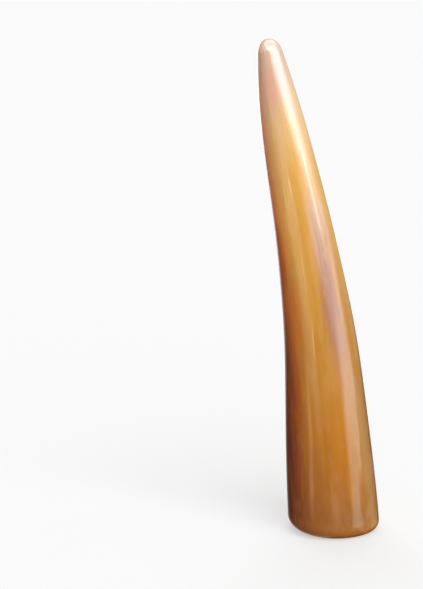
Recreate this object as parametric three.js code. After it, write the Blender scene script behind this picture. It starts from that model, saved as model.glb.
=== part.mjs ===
// A polished buffalo horn, cut flat at its wide end and standing on the cut.
// Millimetres. The origin is on the cut face, on the horn's centre line, and +Z is up.
// The horn sweeps toward -X and a little toward +Y, and its wider axis lies along X.

import * as THREE from "three";
import { LoftGeometry } from "three/addons/geometries/LoftGeometry.js";

const { degToRad, lerp, smoothstep } = THREE.MathUtils;

const HEIGHT = 250;

// Half-width along X at each height, from the cut to the tip.
const HALF_WIDTHS = [
  { height: 0, width: 23.6 },
  { height: 40, width: 22.0 },
  { height: 92, width: 18.8 },
  { height: 146, width: 15.2 },
  { height: 190, width: 12.4 },
  { height: 217, width: 9.9 },
  { height: 235, width: 7.5 },
  { height: HEIGHT, width: 4.9 },
];

// Depth along Y as a share of the width. The horn is rounder near its tip.
const DEPTH_AT_CUT = 0.92;
const DEPTH_AT_TIP = 0.97;

// Three blunt corners round the section, as a share of the half-width.
const CORNERS = 3;
const CORNER_SWELL_AT_CUT = 0.015;
const CORNER_SWELL_AT_TIP = 0.005;
const CORNER_ANGLE = degToRad(10);

// Lean of the centre line toward -X, in mm sideways per mm of height.
const LEAN_AT_CUT = 0.077;
const LEAN_ABOVE_BEND = 0.205;
const LEAN_AT_TIP = 0.176;

// Heights between which the lean changes, as shares of the full height.
const BEND = { from: 0.21, to: 0.72 };
const TIP_BEND = { from: 0.82, to: 1 };

// How far the centre line has moved toward +Y at the tip.
const BACK_SWEEP = 8;

// Sections are level at the cut and square to the centre line above this share of the height.
const SQUARE_ABOVE = 0.15;

// The rim of the cut is rounded over, more on the side that faces ROUNDEST_SIDE.
const RIM_RADIUS = 6.4;
const RIM_RADIUS_CHANGE = 2.2;
const ROUNDEST_SIDE = degToRad(235);

// The tip is a blunt dome that ends in a small polished flat.
const DOME_LENGTH = 5.5;
const DOME_END = degToRad(84);

// Facets of the mesh.
const POINTS_PER_SECTION = 56;
const RIM_STEPS = 6;
const BODY_STEPS = 44;
const DOME_STEPS = 8;

const QUARTER_TURN = Math.PI / 2;

const halfWidthCurve = new THREE.CubicInterpolant(
  HALF_WIDTHS.map((station) => station.height),
  HALF_WIDTHS.map((station) => station.width),
  1,
);

function halfWidth(height) {
  return halfWidthCurve.evaluate(height)[0];
}

// The sum of a smoothstep from 0 up to x, which turns a change of slope into a distance.
function smoothstepSum(x, from, to) {
  const share = THREE.MathUtils.clamp((x - from) / (to - from), 0, 1);
  const inside = (to - from) * (share ** 3 - share ** 4 / 2);
  return inside + Math.max(x - to, 0);
}

function centre(height) {
  const share = height / HEIGHT;
  const bend = (LEAN_ABOVE_BEND - LEAN_AT_CUT) * smoothstepSum(share, BEND.from, BEND.to);
  const tipBend = (LEAN_AT_TIP - LEAN_ABOVE_BEND) * smoothstepSum(share, TIP_BEND.from, TIP_BEND.to);
  const lean = -HEIGHT * (LEAN_AT_CUT * share + bend + tipBend);
  return new THREE.Vector3(lean, BACK_SWEEP * share ** 2, height);
}

// The direction that a section faces: straight up at the cut, along the centre line above it.
function facing(height) {
  const share = height / HEIGHT;
  const bend = (LEAN_ABOVE_BEND - LEAN_AT_CUT) * smoothstep(share, BEND.from, BEND.to);
  const tipBend = (LEAN_AT_TIP - LEAN_ABOVE_BEND) * smoothstep(share, TIP_BEND.from, TIP_BEND.to);
  const sideSlope = -(LEAN_AT_CUT + bend + tipBend);
  const backSlope = (2 * BACK_SWEEP * share) / HEIGHT;
  const turned = smoothstep(share, 0, SQUARE_ABOVE);
  return new THREE.Vector3(sideSlope * turned, backSlope * turned, 1).normalize();
}

// One point of the surface: round the section by angle, at this height and half-width.
function surfacePoint(angle, height, width) {
  const share = height / HEIGHT;
  const normal = facing(height);
  const across = new THREE.Vector3(1, 0, 0).projectOnPlane(normal).normalize();
  const back = new THREE.Vector3().crossVectors(normal, across);
  const swell = lerp(CORNER_SWELL_AT_CUT, CORNER_SWELL_AT_TIP, share);
  const radius = width * (1 + swell * Math.cos(CORNERS * (angle - CORNER_ANGLE)));
  const depth = radius * lerp(DEPTH_AT_CUT, DEPTH_AT_TIP, share);
  return centre(height)
    .addScaledVector(across, radius * Math.cos(angle))
    .addScaledVector(back, depth * Math.sin(angle));
}

// A section is a ring of points, and shape gives the height and half-width at each angle.
function section(shape) {
  const points = [];
  for (let i = 0; i < POINTS_PER_SECTION; i++) {
    const angle = (2 * Math.PI * i) / POINTS_PER_SECTION;
    const { height, width } = shape(angle);
    points.push(surfacePoint(angle, height, width));
  }
  return points;
}

function rimSection(turn) {
  return section((angle) => {
    const radius = RIM_RADIUS + RIM_RADIUS_CHANGE * Math.cos(angle - ROUNDEST_SIDE);
    const height = radius * (1 - Math.cos(turn));
    return { height, width: halfWidth(height) - radius * (1 - Math.sin(turn)) };
  });
}

function bodySection(height) {
  return section(() => ({ height, width: halfWidth(height) }));
}

function domeSection(turn) {
  const height = HEIGHT - DOME_LENGTH + (DOME_LENGTH * Math.sin(turn)) / Math.sin(DOME_END);
  return section(() => ({ height, width: halfWidth(height) * Math.cos(turn) }));
}

function hornGeometry() {
  const sections = [];
  for (let i = 0; i <= RIM_STEPS; i++) {
    sections.push(rimSection((QUARTER_TURN * i) / RIM_STEPS));
  }
  const bodyStart = RIM_RADIUS + RIM_RADIUS_CHANGE;
  const bodyEnd = HEIGHT - DOME_LENGTH;
  for (let i = 1; i < BODY_STEPS; i++) {
    sections.push(bodySection(lerp(bodyStart, bodyEnd, i / BODY_STEPS)));
  }
  for (let i = 0; i <= DOME_STEPS; i++) {
    sections.push(domeSection((DOME_END * i) / DOME_STEPS));
  }
  return new LoftGeometry(sections, { capStart: true, capEnd: true });
}

const polishedHorn = new THREE.MeshStandardMaterial({
  color: new THREE.Color("#c98d4e"),
  roughness: 0.2,
  metalness: 0,
});

const horn = new THREE.Mesh(hornGeometry(), polishedHorn);
horn.name = "horn";

const buffaloHorn = new THREE.Group();
buffaloHorn.add(horn);

export default buffaloHorn;
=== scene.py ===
"""A polished buffalo horn standing on its cut end, in soft studio light. Metres, +Z up."""

import math

import bpy
import numpy as np
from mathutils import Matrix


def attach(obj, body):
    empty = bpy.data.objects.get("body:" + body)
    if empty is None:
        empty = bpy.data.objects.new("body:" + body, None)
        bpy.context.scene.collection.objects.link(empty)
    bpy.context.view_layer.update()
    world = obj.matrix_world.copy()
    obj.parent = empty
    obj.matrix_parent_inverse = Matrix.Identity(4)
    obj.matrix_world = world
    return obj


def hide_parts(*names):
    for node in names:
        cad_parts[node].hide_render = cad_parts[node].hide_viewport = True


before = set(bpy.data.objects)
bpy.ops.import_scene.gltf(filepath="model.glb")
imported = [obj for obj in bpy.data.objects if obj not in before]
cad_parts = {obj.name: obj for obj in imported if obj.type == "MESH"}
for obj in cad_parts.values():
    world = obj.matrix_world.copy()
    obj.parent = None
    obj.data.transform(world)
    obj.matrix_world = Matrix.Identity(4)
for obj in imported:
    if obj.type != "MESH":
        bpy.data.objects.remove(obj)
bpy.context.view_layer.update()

# ---------------------------------------------------------------- shape of the horn

HEIGHT = 0.250

# Height above the cut and half-width along X.
STATION_HEIGHTS = (0.0, 0.040, 0.092, 0.146, 0.190, 0.217, 0.235, HEIGHT)
HALF_WIDTHS = (0.0236, 0.0220, 0.0188, 0.0152, 0.0124, 0.0099, 0.0075, 0.0049)

# Depth along Y as a share of the width.
DEPTH_AT_CUT = 0.92
DEPTH_AT_TIP = 0.97

# Three blunt corners round the section, as a share of the half-width.
CORNERS = 3
CORNER_SWELL_AT_CUT = 0.015
CORNER_SWELL_AT_TIP = 0.005
CORNER_ANGLE = math.radians(10)

# Sideways lean toward -X per metre of height, and where it changes as shares of the height.
LEAN_AT_CUT = 0.077
LEAN_ABOVE_BEND = 0.205
LEAN_AT_TIP = 0.176
BEND = (0.21, 0.72)
TIP_BEND = (0.82, 1.0)
BACK_SWEEP = 0.008
SQUARE_ABOVE = 0.15

# The rounded rim of the cut, which is rounded over more on the side that faces ROUNDEST_SIDE.
RIM_RADIUS = 0.0064
RIM_RADIUS_CHANGE = 0.0022
ROUNDEST_SIDE = math.radians(235)

# The blunt dome of the tip. A power below 1 makes it fuller than an ellipse.
DOME_LENGTH = 0.0065
DOME_POWER = 2 / 2.3

# Hand grinding leaves the surface very slightly uneven.
UNEVEN_SEED = 7
UNEVEN_DEPTH = 0.00016
UNEVEN_ORDERS = (2, 3, 4, 5, 6)
UNEVEN_WAVES_PER_ORDER = 3
UNEVEN_TURNS = (1.0, 5.0)

# Mesh resolution.
COLUMNS = 192
RIM_ROWS = 18
BODY_ROWS = 320
DOME_ROWS = 28
CUT_RINGS = 10


def smoothstep(x, low, high):
    share = np.clip((x - low) / (high - low), 0, 1)
    return share * share * (3 - 2 * share)


def smoothstep_sum(x, low, high):
    """The sum of a smoothstep from 0 up to x."""
    share = np.clip((x - low) / (high - low), 0, 1)
    return (high - low) * (share**3 - share**4 / 2) + np.maximum(x - high, 0)


def half_width(height):
    """A smooth curve through the stations, with no curvature at its ends."""
    at, value = np.array(STATION_HEIGHTS), np.array(HALF_WIDTHS)
    slope = np.empty(len(at))
    slope[1:-1] = (value[2:] - value[:-2]) / (at[2:] - at[:-2])
    slope[0] = 1.5 * (value[1] - value[0]) / (at[1] - at[0]) - slope[1] / 2
    slope[-1] = 1.5 * (value[-1] - value[-2]) / (at[-1] - at[-2]) - slope[-2] / 2
    i = np.clip(np.searchsorted(at, height, side="right") - 1, 0, len(at) - 2)
    step = at[i + 1] - at[i]
    t = (height - at[i]) / step
    start = (2 * t**3 - 3 * t**2 + 1) * value[i] + (t**3 - 2 * t**2 + t) * step * slope[i]
    end = (3 * t**2 - 2 * t**3) * value[i + 1] + (t**3 - t**2) * step * slope[i + 1]
    return start + end


def lean_slope(share):
    bend = (LEAN_ABOVE_BEND - LEAN_AT_CUT) * smoothstep(share, *BEND)
    tip_bend = (LEAN_AT_TIP - LEAN_ABOVE_BEND) * smoothstep(share, *TIP_BEND)
    return LEAN_AT_CUT + bend + tip_bend


def centre(height):
    share = height / HEIGHT
    bend = (LEAN_ABOVE_BEND - LEAN_AT_CUT) * smoothstep_sum(share, *BEND)
    tip_bend = (LEAN_AT_TIP - LEAN_ABOVE_BEND) * smoothstep_sum(share, *TIP_BEND)
    lean = -HEIGHT * (LEAN_AT_CUT * share + bend + tip_bend)
    return np.stack([lean, BACK_SWEEP * share**2, height], axis=-1)


def section_axes(height):
    """Two directions in the plane of a section: across, near +X, and back, near +Y."""
    share = height / HEIGHT
    turned = smoothstep(share, 0, SQUARE_ABOVE)
    side = -lean_slope(share) * turned
    back_slope = 2 * BACK_SWEEP * share / HEIGHT * turned
    facing = np.stack([side, back_slope, np.ones_like(share)], axis=-1)
    facing /= np.linalg.norm(facing, axis=-1, keepdims=True)
    across = np.array([1.0, 0.0, 0.0]) - facing * facing[..., :1]
    across /= np.linalg.norm(across, axis=-1, keepdims=True)
    return across, np.cross(facing, across)


def unevenness(angle, height):
    """Low waves round and along the horn, which make its reflections waver."""
    rng = np.random.default_rng(UNEVEN_SEED)
    total = np.zeros_like(angle)
    for order in UNEVEN_ORDERS:
        for _ in range(UNEVEN_WAVES_PER_ORDER):
            turns = rng.uniform(*UNEVEN_TURNS)
            phase, along = rng.uniform(0, 2 * math.pi, 2)
            wave = np.cos(order * angle + phase)
            total += wave * np.cos(2 * math.pi * turns * height / HEIGHT + along) / order
    return UNEVEN_DEPTH * total


def surface(angle, height, width):
    share = height / HEIGHT
    across, back = section_axes(height)
    swell = CORNER_SWELL_AT_CUT + (CORNER_SWELL_AT_TIP - CORNER_SWELL_AT_CUT) * share
    radius = width * (1 + swell * np.cos(CORNERS * (angle - CORNER_ANGLE)))
    depth = radius * (DEPTH_AT_CUT + (DEPTH_AT_TIP - DEPTH_AT_CUT) * share)
    place = centre(height) + across * (radius * np.cos(angle))[..., None]
    return place + back * (depth * np.sin(angle))[..., None]


def rim_row(angle, turn):
    radius = RIM_RADIUS + RIM_RADIUS_CHANGE * np.cos(angle - ROUNDEST_SIDE)
    height = radius * (1 - math.cos(turn))
    return height, half_width(height) - radius * (1 - math.sin(turn))


def body_row(angle, share):
    start = RIM_RADIUS + RIM_RADIUS_CHANGE * np.cos(angle - ROUNDEST_SIDE)
    height = start + (HEIGHT - DOME_LENGTH - start) * share
    return height, half_width(height)


def dome_row(angle, turn):
    rise = DOME_LENGTH * math.sin(turn) ** DOME_POWER
    height = np.full_like(angle, HEIGHT - DOME_LENGTH + rise)
    return height, half_width(height) * math.cos(turn) ** DOME_POWER


def horn_rows(angle):
    """Every ring from the rim of the flat cut to just below the top of the tip, as (height, width)."""
    quarter = math.pi / 2
    rows = [rim_row(angle, quarter * i / RIM_ROWS) for i in range(RIM_ROWS)]
    rows += [body_row(angle, i / BODY_ROWS) for i in range(BODY_ROWS)]
    rows += [dome_row(angle, quarter * i / DOME_ROWS) for i in range(DOME_ROWS)]
    return rows


def horn_points():
    """The points of all rings, and their place in the grain: a circle of radius 1 by a height of 1."""
    angle = np.arange(COLUMNS) * 2 * math.pi / COLUMNS
    points, grain = [], []
    rows = horn_rows(angle)
    flat = rows[0][1]
    for i in range(1, CUT_RINGS):
        rows.insert(i - 1, (np.zeros_like(angle), flat * i / CUT_RINGS))
    for height, width in rows:
        share = width / half_width(height)
        even = smoothstep(height, 0, 2 * RIM_RADIUS) * share
        width = width + unevenness(angle, height) * even
        points.append(surface(angle, height, width))
        grain.append(np.stack([share * np.cos(angle), share * np.sin(angle), height / HEIGHT], axis=-1))
    points = np.concatenate([[[0.0, 0.0, 0.0]], *points, [centre(np.array(HEIGHT))]])
    grain = np.concatenate([[[0.0, 0.0, 0.0]], *grain, [[0.0, 0.0, 1.0]]])
    return points, grain


def horn_faces(point_count):
    """A fan round the middle of the cut, quads between rings, and a fan at the tip."""
    rings = (point_count - 2) // COLUMNS
    ring = np.arange(COLUMNS)
    after = (ring + 1) % COLUMNS
    faces = [(0, 1 + b, 1 + a) for a, b in zip(ring, after)]
    for i in range(rings - 1):
        low = 1 + i * COLUMNS
        high = low + COLUMNS
        faces += [(low + a, low + b, high + b, high + a) for a, b in zip(ring, after)]
    last = 1 + (rings - 1) * COLUMNS
    faces += [(last + a, last + b, point_count - 1) for a, b in zip(ring, after)]
    return faces


def make_horn():
    points, grain = horn_points()
    mesh = bpy.data.meshes.new("polished_horn")
    mesh.from_pydata(points.tolist(), [], horn_faces(len(points)))
    attribute = mesh.attributes.new("grain", "FLOAT_VECTOR", "POINT")
    attribute.data.foreach_set("vector", grain.astype(np.float32).ravel())
    mesh.materials.append(polished_horn())
    mesh.materials.append(cut_horn())
    cut_faces = COLUMNS * CUT_RINGS
    slots = np.zeros(len(mesh.polygons), dtype=np.int32)
    slots[:cut_faces] = 1
    mesh.polygons.foreach_set("material_index", slots)
    mesh.shade_smooth()
    mesh.validate()
    piece = bpy.data.objects.new("polished_horn", mesh)
    bpy.context.scene.collection.objects.link(piece)
    return piece


# ---------------------------------------------------------------- materials


# The values between which a noise texture mostly lies.
NOISE_RANGE = (0.3, 0.7)


def grey(level):
    return (level, level, level, 1.0)


def colour(code):
    """A linear colour with alpha from an sRGB code such as #c98d4e."""
    parts = [int(code[i : i + 2], 16) / 255 for i in (1, 3, 5)]
    linear = [c / 12.92 if c <= 0.04045 else ((c + 0.055) / 1.055) ** 2.4 for c in parts]
    return (*linear, 1.0)


class Graph:
    """Short calls that add shader nodes. An input is a number, a colour or another node's output."""

    def __init__(self, tree):
        self.tree = tree
        tree.nodes.clear()

    def node(self, kind, inputs=None, **settings):
        made = self.tree.nodes.new(kind)
        for name, value in settings.items():
            setattr(made, name, value)
        for name, value in (inputs or {}).items():
            if isinstance(value, bpy.types.NodeSocket):
                self.tree.links.new(value, made.inputs[name])
            else:
                made.inputs[name].default_value = value
        return made

    def math(self, operation, a, b=0.0):
        return self.node("ShaderNodeMath", {0: a, 1: b}, operation=operation).outputs[0]

    def noise(self, vector, across, along, detail=3.0, roughness=0.55, distortion=0.0):
        """Noise in the grain, with so many waves in its radius and in the horn's height."""
        stretch = {0: vector, 1: (across, across, along)}
        stretched = self.node("ShaderNodeVectorMath", stretch, operation="MULTIPLY").outputs[0]
        inputs = {"Vector": stretched, "Scale": 1.0, "Detail": detail, "Roughness": roughness}
        return self.node("ShaderNodeTexNoise", {**inputs, "Distortion": distortion}).outputs["Fac"]

    def fade(self, value, low, high, to_low=0.0, to_high=1.0):
        """to_low up to low, to_high from high on, and a smooth change between."""
        inputs = {0: value, 1: low, 2: high, 3: to_low, 4: to_high}
        return self.node("ShaderNodeMapRange", inputs, interpolation_type="SMOOTHSTEP").outputs[0]

    def sway(self, noise, reach):
        """From -reach to reach as a noise goes through its usual range."""
        return self.fade(noise, *NOISE_RANGE, -reach, reach)

    def mix(self, factor, a, b, blend="MIX"):
        made = self.node("ShaderNodeMix", data_type="RGBA", blend_type=blend)
        for place, value in ((0, factor), (6, a), (7, b)):
            if isinstance(value, bpy.types.NodeSocket):
                self.tree.links.new(value, made.inputs[place])
            else:
                made.inputs[place].default_value = value
        return made.outputs[2]

    def ramp(self, value, stops):
        made = self.node("ShaderNodeValToRGB", {0: value})
        stripe = made.color_ramp
        while len(stripe.elements) < len(stops):
            stripe.elements.new(0.5)
        for element, (at, code) in zip(stripe.elements, stops):
            element.position = at
            element.color = colour(code)
        return made.outputs[0]


def new_material(name):
    material = bpy.data.materials.new(name)
    material.use_nodes = True
    return material, Graph(material.node_tree)


# Colours from the cut up to the tip: the lit amber side and the deep brown side.
LIT_COLOURS = (
    (0.02, "#945c2a"),
    (0.20, "#b27022"),
    (0.40, "#bb8232"),
    (0.60, "#d49c46"),
    (0.74, "#deaa58"),
    (0.84, "#deb47c"),
    (0.94, "#d2ab90"),
)
DEEP_COLOURS = (
    (0.02, "#8a3e22"),
    (0.25, "#984220"),
    (0.40, "#a64a1c"),
    (0.62, "#ea7636"),
    (0.78, "#ee8c54"),
    (0.92, "#f8a680"),
)
CUT_COLOURS = ((0.0, "#8a5a30"), (0.7, "#7d4a24"), (1.0, "#6b3a22"))
MILKY = "#d9a882"
AMBER = "#c0791c"
BROWN = "#8a4a22"
# Painted light: a lighter orange on the rounded rim of the cut, where the lamps leave it in shade.
RIM_PAINTED_LIGHT = "#c67e38"

# The noises in the grain. The first four tint the horn, and the last three are in its polish.
CLOUDING = {"across": 1.6, "along": 4.5, "distortion": 0.5}
BANDS = {"across": 3.5, "along": 9, "distortion": 0.4}
STREAKS = {"across": 7, "along": 17, "distortion": 0.6}
FIBRES = {"across": 40, "along": 16}
SMUDGES = {"across": 3, "along": 6, "detail": 4, "roughness": 0.6}
RIPPLES = {"across": 6, "along": 12, "detail": 2}
FINE_FIBRES = {"across": 60, "along": 5, "detail": 2}

# The deep brown side: the way it faces, how far it draws back toward the tip, where it begins and
# is full (1 faces that way and 0 is square to it), and how far its edge and the colours sway.
DEEP_SIDE = math.radians(184)
DEEP_DRAWN_BACK = 0.25
DEEP_EDGE = (0.38, 0.94)
DEEP_SWAY_CLOUDING = 0.05
DEEP_SWAY_BANDS = 0.04
HEIGHT_SWAY = 0.04

# How strongly the tints show. Each is two values of a noise or of the height, and the strength at
# the first and at the second.
MILKY_BY_BANDS = (0.48, 0.75, 0.0, 0.3)
MILKY_BY_HEIGHT = (0.5, 0.9, 0.4, 1.0)
AMBER_BY_BANDS = (0.3, 0.5, 0.3, 0.0)
AMBER_BY_HEIGHT = (0.3, 0.8, 1.0, 0.2)
# Painted light on the rim: strength 0.55 at the cut, gone by 5% of the height.
RIM_PAINTED_LIGHT_BY_HEIGHT = (0.0, 0.05, 0.55, 0.0)
BROWN_BY_STREAKS = (0.5, 0.75, 0.0, 0.08)
MILKY_BY_STREAKS = (0.3, 0.5, 0.05, 0.0)
BROWN_BY_FIBRES = (0.5, 0.75, 0.0, 0.04)

# The polish: roughness between its smudges, and the depths of its ripples and fibres in metres.
ROUGHNESS = (0.30, 0.42)
RIPPLE_DEPTH = 0.0002
FIBRE_DEPTH = 0.0001
FIBRE_STRENGTH = 0.25

# Single clouds in the horn. Most are its own colour, and the ones marked below are painted light, shade
# or highlight. Each has its place (degrees round the section from +X toward +Y, and a share of the
# height), its half-size round (degrees) and along, its colour and its strength.
CLOUDS = (
    {"angle": 301, "height": 0.62, "round": 18, "along": 0.08, "colour": "#a68e7c", "strength": 0.55},
    {"angle": 292, "height": 0.48, "round": 19, "along": 0.13, "colour": "#a2725a", "strength": 0.75},
    {"angle": 322, "height": 0.55, "round": 17, "along": 0.12, "colour": "#c49058", "strength": 0.6},
    {"angle": 345, "height": 0.42, "round": 18, "along": 0.09, "colour": "#c8945a", "strength": 0.5},
    {"angle": 232, "height": 0.45, "round": 15, "along": 0.09, "colour": "#d86c26", "strength": 0.4},
    # Painted light: a lighter amber where a soft veil of reflected light lies left of the middle.
    {"angle": 236, "height": 0.75, "round": 22, "along": 0.08, "colour": "#e4a868", "strength": 0.5},
    {"angle": 340, "height": 0.70, "round": 24, "along": 0.09, "colour": "#c89a48", "strength": 0.6},
    {"angle": 206, "height": 0.58, "round": 15, "along": 0.08, "colour": "#984626", "strength": 0.45},
    {"angle": 297, "height": 0.40, "round": 16, "along": 0.08, "colour": "#b07c5c", "strength": 0.45},
    # Painted light: a lighter amber where a soft veil of reflected light lies left of the middle.
    {"angle": 248, "height": 0.67, "round": 14, "along": 0.05, "colour": "#f0b878", "strength": 0.4},
    # Painted light: a pale orange on the right front of the rounded rim, which lightens it where it turns
    # down from the lamps.
    {"angle": 334, "height": 0.00, "round": 30, "along": 0.03, "colour": "#ffc888", "strength": 0.75},
    {"angle": 220, "height": 0.30, "round": 13, "along": 0.08, "colour": "#b04018", "strength": 0.45},
    # Painted shade: a dark brown on the far left and back, low down, where little light reaches.
    {"angle": 184, "height": 0.20, "round": 36, "along": 0.28, "colour": "#64281a", "strength": 0.5},
    {"angle": 244, "height": 0.10, "round": 16, "along": 0.12, "colour": "#985a28", "strength": 0.5},
    {"angle": 264, "height": 0.58, "round": 20, "along": 0.18, "colour": "#ce963a", "strength": 0.5},
    {"angle": 246, "height": 0.90, "round": 20, "along": 0.05, "colour": "#dca08c", "strength": 0.6},
    {"angle": 334, "height": 0.14, "round": 24, "along": 0.24, "colour": "#b48a56", "strength": 0.75},
    {"angle": 351, "height": 0.175, "round": 15, "along": 0.024, "colour": "#b0622c", "strength": 0.45},
    {"angle": 350, "height": 0.135, "round": 13, "along": 0.032, "colour": "#c88c72", "strength": 0.65},
    {"angle": 354, "height": 0.085, "round": 14, "along": 0.04, "colour": "#c48a6c", "strength": 0.5},
    # Painted highlight: a pale patch under the long highlight, which makes the highlight look whiter.
    {"angle": 306, "height": 0.66, "round": 13, "along": 0.05, "colour": "#deb494", "strength": 0.5},
    {"angle": 279, "height": 0.60, "round": 10, "along": 0.09, "colour": "#d8a47c", "strength": 0.35},
    # Partly the tip's own colour and partly painted highlight: a creamy tone under the tip's highlight.
    {"angle": 308, "height": 0.96, "round": 26, "along": 0.05, "colour": "#bca68c", "strength": 0.6},
    {"angle": 75, "height": 0.40, "round": 40, "along": 0.16, "colour": "#a06030", "strength": 0.6},
    {"angle": 120, "height": 0.66, "round": 25, "along": 0.12, "colour": "#c89a70", "strength": 0.6},
)

# A cloud fades out at this many half-sizes squared, and its edge sways by so many.
CLOUD_END = 1.4
CLOUD_SWAY = 0.5


def facing_side(graph, x, y, side):
    """1 on the side of the horn that faces this angle, 0 square to it and -1 opposite."""
    x_part = graph.math("MULTIPLY", x, math.cos(side))
    y_part = graph.math("MULTIPLY", y, math.sin(side))
    return graph.math("ADD", x_part, y_part)


def grain_parts(graph):
    """The place in the grain, then its x and y, with the horn's side at radius 1, and its height."""
    grain = graph.node("ShaderNodeAttribute", attribute_name="grain").outputs["Vector"]
    apart = graph.node("ShaderNodeSeparateXYZ", {0: grain})
    return grain, apart.outputs[0], apart.outputs[1], apart.outputs[2]


def cloud_mask(graph, x, y, height, uneven, cloud):
    """A cloud's strength in its middle, fading out round its half-sizes with an uneven edge."""
    span = 1 - math.cos(math.radians(cloud["round"]))
    facing = facing_side(graph, x, y, math.radians(cloud["angle"]))
    round_part = graph.math("DIVIDE", graph.math("SUBTRACT", 1.0, facing), span)
    along = graph.math("DIVIDE", graph.math("SUBTRACT", height, cloud["height"]), cloud["along"])
    far = graph.math("ADD", round_part, graph.math("MULTIPLY", along, along))
    far = graph.math("ADD", far, graph.sway(uneven, CLOUD_SWAY))
    return graph.fade(far, 0.0, CLOUD_END, cloud["strength"], 0.0)


def two_sides(graph, x, y, height, clouding, bands):
    """The lit amber side and the deep brown side, with a swaying edge between."""
    moved = graph.math("ADD", height, graph.sway(clouding, HEIGHT_SWAY))
    side = facing_side(graph, x, y, DEEP_SIDE)
    side = graph.math("SUBTRACT", side, graph.math("MULTIPLY", height, DEEP_DRAWN_BACK))
    side = graph.math("ADD", side, graph.sway(clouding, DEEP_SWAY_CLOUDING))
    side = graph.math("ADD", side, graph.sway(bands, DEEP_SWAY_BANDS))
    lit = graph.ramp(moved, LIT_COLOURS)
    deep = graph.ramp(moved, DEEP_COLOURS)
    return graph.mix(graph.fade(side, *DEEP_EDGE), lit, deep)


def horn_colour(graph):
    grain, x, y, height = grain_parts(graph)
    clouding = graph.noise(grain, **CLOUDING)
    bands = graph.noise(grain, **BANDS)
    streaks = graph.noise(grain, **STREAKS)
    fibres = graph.noise(grain, **FIBRES)

    mixed = two_sides(graph, x, y, height, clouding, bands)
    for tint, by_bands, by_height in (
        (MILKY, MILKY_BY_BANDS, MILKY_BY_HEIGHT),
        (AMBER, AMBER_BY_BANDS, AMBER_BY_HEIGHT),
    ):
        mask = graph.math("MULTIPLY", graph.fade(bands, *by_bands), graph.fade(height, *by_height))
        mixed = graph.mix(mask, mixed, colour(tint))
    # The clouds are mostly the horn's own colour, with some painted light, shade and highlight among them.
    for cloud in CLOUDS:
        mask = cloud_mask(graph, x, y, height, streaks, cloud)
        mixed = graph.mix(mask, mixed, colour(cloud["colour"]))
    # The first tint is painted light on the rim. The others are the horn's own streaks and fibres.
    for tint, value, strengths in (
        (RIM_PAINTED_LIGHT, height, RIM_PAINTED_LIGHT_BY_HEIGHT),
        (BROWN, streaks, BROWN_BY_STREAKS),
        (MILKY, streaks, MILKY_BY_STREAKS),
        (BROWN, fibres, BROWN_BY_FIBRES),
    ):
        mixed = graph.mix(graph.fade(value, *strengths), mixed, colour(tint))
    return mixed


def polished_horn():
    material, graph = new_material("polished_horn")
    grain = grain_parts(graph)[0]
    ripple = graph.node(
        "ShaderNodeBump",
        {"Strength": 1.0, "Distance": RIPPLE_DEPTH, "Height": graph.noise(grain, **RIPPLES)},
    )
    bump = graph.node(
        "ShaderNodeBump",
        {
            "Strength": FIBRE_STRENGTH,
            "Distance": FIBRE_DEPTH,
            "Height": graph.noise(grain, **FINE_FIBRES),
            "Normal": ripple.outputs[0],
        },
    )
    smudges = graph.noise(grain, **SMUDGES)
    shader = graph.node(
        "ShaderNodeBsdfPrincipled",
        {
            "Base Color": horn_colour(graph),
            "Roughness": graph.fade(smudges, *NOISE_RANGE, *ROUGHNESS),
            "Normal": bump.outputs[0],
            "Specular IOR Level": 0.15,
            "Subsurface Weight": 0.25,
            "Subsurface Radius": (1.0, 0.45, 0.2),
            "Subsurface Scale": 0.004,
            "Coat Weight": 1.0,
            "Coat Roughness": 0.06,
            "Coat IOR": 1.8,
        },
    )
    graph.node("ShaderNodeOutputMaterial", {"Surface": shader.outputs[0]})
    return material


def cut_horn():
    material, graph = new_material("cut_horn")
    _, x, y, _ = grain_parts(graph)
    squared = graph.math("ADD", graph.math("MULTIPLY", x, x), graph.math("MULTIPLY", y, y))
    cut_colour = graph.ramp(graph.math("SQRT", squared), CUT_COLOURS)
    shader = graph.node("ShaderNodeBsdfPrincipled", {"Base Color": cut_colour, "Roughness": 0.5})
    graph.node("ShaderNodeOutputMaterial", {"Surface": shader.outputs[0]})
    return material


# ---------------------------------------------------------------- floor, light and camera

# The floor glows just enough to look as bright as the background where no shadow falls on it.
FLOOR_HALF = 9.0
FLOOR_ALBEDO = 0.35
BACKGROUND = 0.96

# Soft lights: azimuth from the camera's side toward +X, elevation, apparent size and strength.
LIGHTS = {
    "key": {"azimuth": 24, "elevation": 38, "size": 60, "strength": 3.1},
    "back": {"azimuth": 188, "elevation": 35, "size": 70, "strength": 1.5},
}

# The even light on matt surfaces, and what the polish mirrors between the panels below.
AMBIENT = 0.52
MIRRORED_DARK = 0.02

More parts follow.
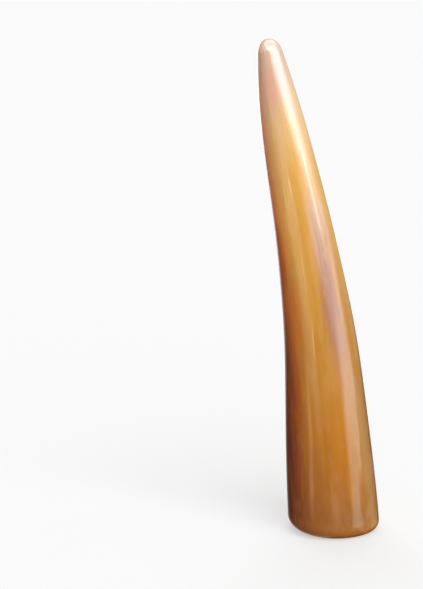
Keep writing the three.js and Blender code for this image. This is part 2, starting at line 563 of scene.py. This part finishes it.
# Bright parts of the room that the polish mirrors, in degrees: azimuth as for the lights, and
# elevation. Each edge is an azimuth and an elevation that it passes through, the direction in which
# the bright side lies (0 toward more azimuth, 90 up) and its softness.
PANELS = {
    "window": {
        "edges": (
            (39, 15, 73, 9),
            (70, 10.7, 90, 3.5),
            (83, 15, 195, 20),
            (-45, 40, 0, 30),
            (0, 52, 270, 14),
        ),
        "colour": "#c8eaff",
        "strength": 6.4,
    },
    "ceiling": {"edges": ((0, 47, 90, 14),), "colour": "#eef4ff", "strength": 2.8},
    "high glow": {
        "edges": ((-120, 15, 0, 40), (-10, 25, 180, 30), (-60, 15, 100, 13)),
        "colour": "#f8f0f4",
        "strength": 1.5,
    },
    "curtain": {
        "edges": ((80, 5, 0, 14), (90, 4, 90, 7), (135, 5, 180, 45)),
        "colour": "#dcf6ff",
        "strength": 1.05,
    },
    "wall": {
        "edges": ((66, 3, 0, 12), (97, 3, 180, 8), (70, -4, 90, 5), (70, 8, 270, 4)),
        "colour": "#c4d4ff",
        "strength": 1.6,
    },
    "sky": {
        "edges": (
            (23, 3, 76, 5),
            (26, 6.5, -73, 4),
            (46, -3, 75, 3),
            (70, 3, 180, 9),
            (70, -4, 90, 5),
            (70, 11, 270, 4),
        ),
        "colour": "#b4ccff",
        "strength": 1.7,
    },
    "bench": {
        "edges": (
            (53, -8, 0, 6),
            (90, -6, 180, 4),
            (86, -10, 104, 1.5),
            (70, -1, 270, 5),
            (70, -14, 90, 5),
        ),
        "colour": "#e8fff4",
        "strength": 1.4,
    },
    "bench front": {
        "edges": ((52, -20, 0, 6), (74, -20, 180, 6), (60, -13, 270, 2), (60, -30, 90, 10)),
        "colour": "#f4ffee",
        "strength": 0.7,
    },
    "post": {
        "edges": (
            (-57, -14, 0, 3),
            (-53, -14.5, -61, 2.5),
            (-43, -14, 160, 4),
            (-48, -11, 270, 2.5),
            (-48, -20, 90, 3),
        ),
        "colour": "#ffc8a4",
        "strength": 1.1,
    },
    "far wall": {
        "edges": ((-50, -9, 85, 2.5), (-67, -4, 0, 8), (-16, -4, 180, 8), (-36, 4, 270, 5)),
        "colour": "#e4f4ec",
        "strength": 0.6,
    },
    "high lamp": {
        "edges": ((-27, -4, 0, 2), (-23, -4, 180, 2), (-25, -3.8, 90, 0.6), (-25, -2.6, 270, 0.8)),
        "colour": "#ffe4b0",
        "strength": 5.0,
    },
    "low lamp": {
        "edges": ((-17, -6, 0, 2), (-13, -6, 180, 2), (-15, -7.5, 90, 1), (-15, -5.5, 270, 1)),
        "colour": "#ffe2b0",
        "strength": 2.6,
    },
    "window gap": {
        "edges": ((62, 9, 0, 3), (71, 9, 180, 3), (67, 8.9, 90, 1.2), (67, 13, 270, 3)),
        "colour": "#eaf4ff",
        "strength": 3.0,
    },
    "back window": {
        "edges": ((-175, 0, 0, 5), (-148, 0, 180, 6), (-160, -10, 90, 8), (-160, 7, 270, 8)),
        "colour": "#f4f8ff",
        "strength": 2.6,
    },
    "right end": {
        "edges": ((125, 0, 0, 20), (150, 40, 270, 30), (140, -8, 90, 3)),
        "colour": "#ffdc98",
        "strength": 0.5,
    },
    "left end": {"edges": ((-160, 0, 180, 15), (-150, 40, 270, 30)), "colour": "#fff8f0", "strength": 0.4},
}

# The camera looks along +Y and down by its pitch. Lens and sensor are in mm.
CAMERA_PLACE = (-0.0631, -0.799, 0.2963)
CAMERA_PITCH = math.radians(12.2)
CAMERA_LENS = 99.6
SENSOR = 36.0


def make_floor():
    mesh = bpy.data.meshes.new("floor")
    corners = [(x * FLOOR_HALF, y * FLOOR_HALF, 0) for x, y in ((-1, -1), (1, -1), (1, 1), (-1, 1))]
    mesh.from_pydata(corners, [], [(0, 1, 2, 3)])
    material, graph = new_material("floor")
    diffuse = graph.node("ShaderNodeBsdfDiffuse", {"Color": grey(FLOOR_ALBEDO)})
    lit = AMBIENT
    for light in LIGHTS.values():
        lit += light["strength"] * math.sin(math.radians(light["elevation"])) / math.pi
    glow = graph.node("ShaderNodeEmission", {"Strength": BACKGROUND - FLOOR_ALBEDO * lit})
    both = graph.node("ShaderNodeAddShader", {0: diffuse.outputs[0], 1: glow.outputs[0]})
    graph.node("ShaderNodeOutputMaterial", {"Surface": both.outputs[0]})
    mesh.materials.append(material)
    floor = bpy.data.objects.new("floor", mesh)
    floor.visible_diffuse = False
    floor.visible_glossy = False
    bpy.context.scene.collection.objects.link(floor)


def panel_mask(graph, azimuth, elevation, edges):
    """1 where all the edges of a panel have their bright side, and 0 outside it."""
    mask = 1.0
    for at_azimuth, at_elevation, toward, soft in edges:
        along, up = math.cos(math.radians(toward)), math.sin(math.radians(toward))
        inside = graph.math("MULTIPLY", graph.math("SUBTRACT", azimuth, at_azimuth), along)
        above = graph.math("MULTIPLY", graph.math("SUBTRACT", elevation, at_elevation), up)
        inside = graph.math("ADD", inside, above)
        mask = graph.math("MULTIPLY", mask, graph.fade(inside, -soft, soft))
    return mask


def make_world():
    world = bpy.data.worlds.new("studio")
    world.use_nodes = True
    bpy.context.scene.world = world
    graph = Graph(world.node_tree)
    direction = graph.node("ShaderNodeTexCoord").outputs["Generated"]
    apart = graph.node("ShaderNodeSeparateXYZ", {0: direction})
    toward = graph.math("MULTIPLY", apart.outputs[1], -1.0)
    azimuth = graph.math("DEGREES", graph.math("ARCTAN2", apart.outputs[0], toward))
    elevation = graph.math("DEGREES", graph.math("ARCSINE", apart.outputs[2]))

    mirrored = grey(MIRRORED_DARK)
    for panel in PANELS.values():
        mask = panel_mask(graph, azimuth, elevation, panel["edges"])
        strength = graph.math("MULTIPLY", mask, panel["strength"])
        tint = {0: colour(panel["colour"])[:3], "Scale": strength}
        tinted = graph.node("ShaderNodeVectorMath", tint, operation="SCALE")
        mirrored = graph.mix(1.0, mirrored, tinted.outputs[0], blend="ADD")

    ray = graph.node("ShaderNodeLightPath")
    light = graph.mix(ray.outputs["Is Glossy Ray"], grey(AMBIENT), mirrored)
    light = graph.mix(ray.outputs["Is Camera Ray"], light, grey(BACKGROUND))
    background = graph.node("ShaderNodeBackground", {"Color": light})
    graph.node("ShaderNodeOutputWorld", {"Surface": background.outputs[0]})


def make_lights():
    for name, light in LIGHTS.items():
        lamp = bpy.data.lights.new(name, "SUN")
        lamp.energy = light["strength"]
        lamp.angle = math.radians(light["size"])
        sun = bpy.data.objects.new(name, lamp)
        sun.rotation_euler = (math.radians(90 - light["elevation"]), 0, math.radians(light["azimuth"]))
        sun.visible_glossy = False
        bpy.context.scene.collection.objects.link(sun)


def make_camera():
    camera = bpy.data.objects.new("camera", bpy.data.cameras.new("camera"))
    camera.data.lens = CAMERA_LENS
    camera.data.sensor_width = SENSOR
    camera.location = CAMERA_PLACE
    camera.rotation_euler = (math.pi / 2 - CAMERA_PITCH, 0, 0)
    bpy.context.scene.collection.objects.link(camera)
    bpy.context.scene.camera = camera


make_camera()
make_floor()
make_world()
make_lights()
bpy.context.scene.view_settings.view_transform = "Standard"

horn = make_horn()
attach(horn, "root")
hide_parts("horn")
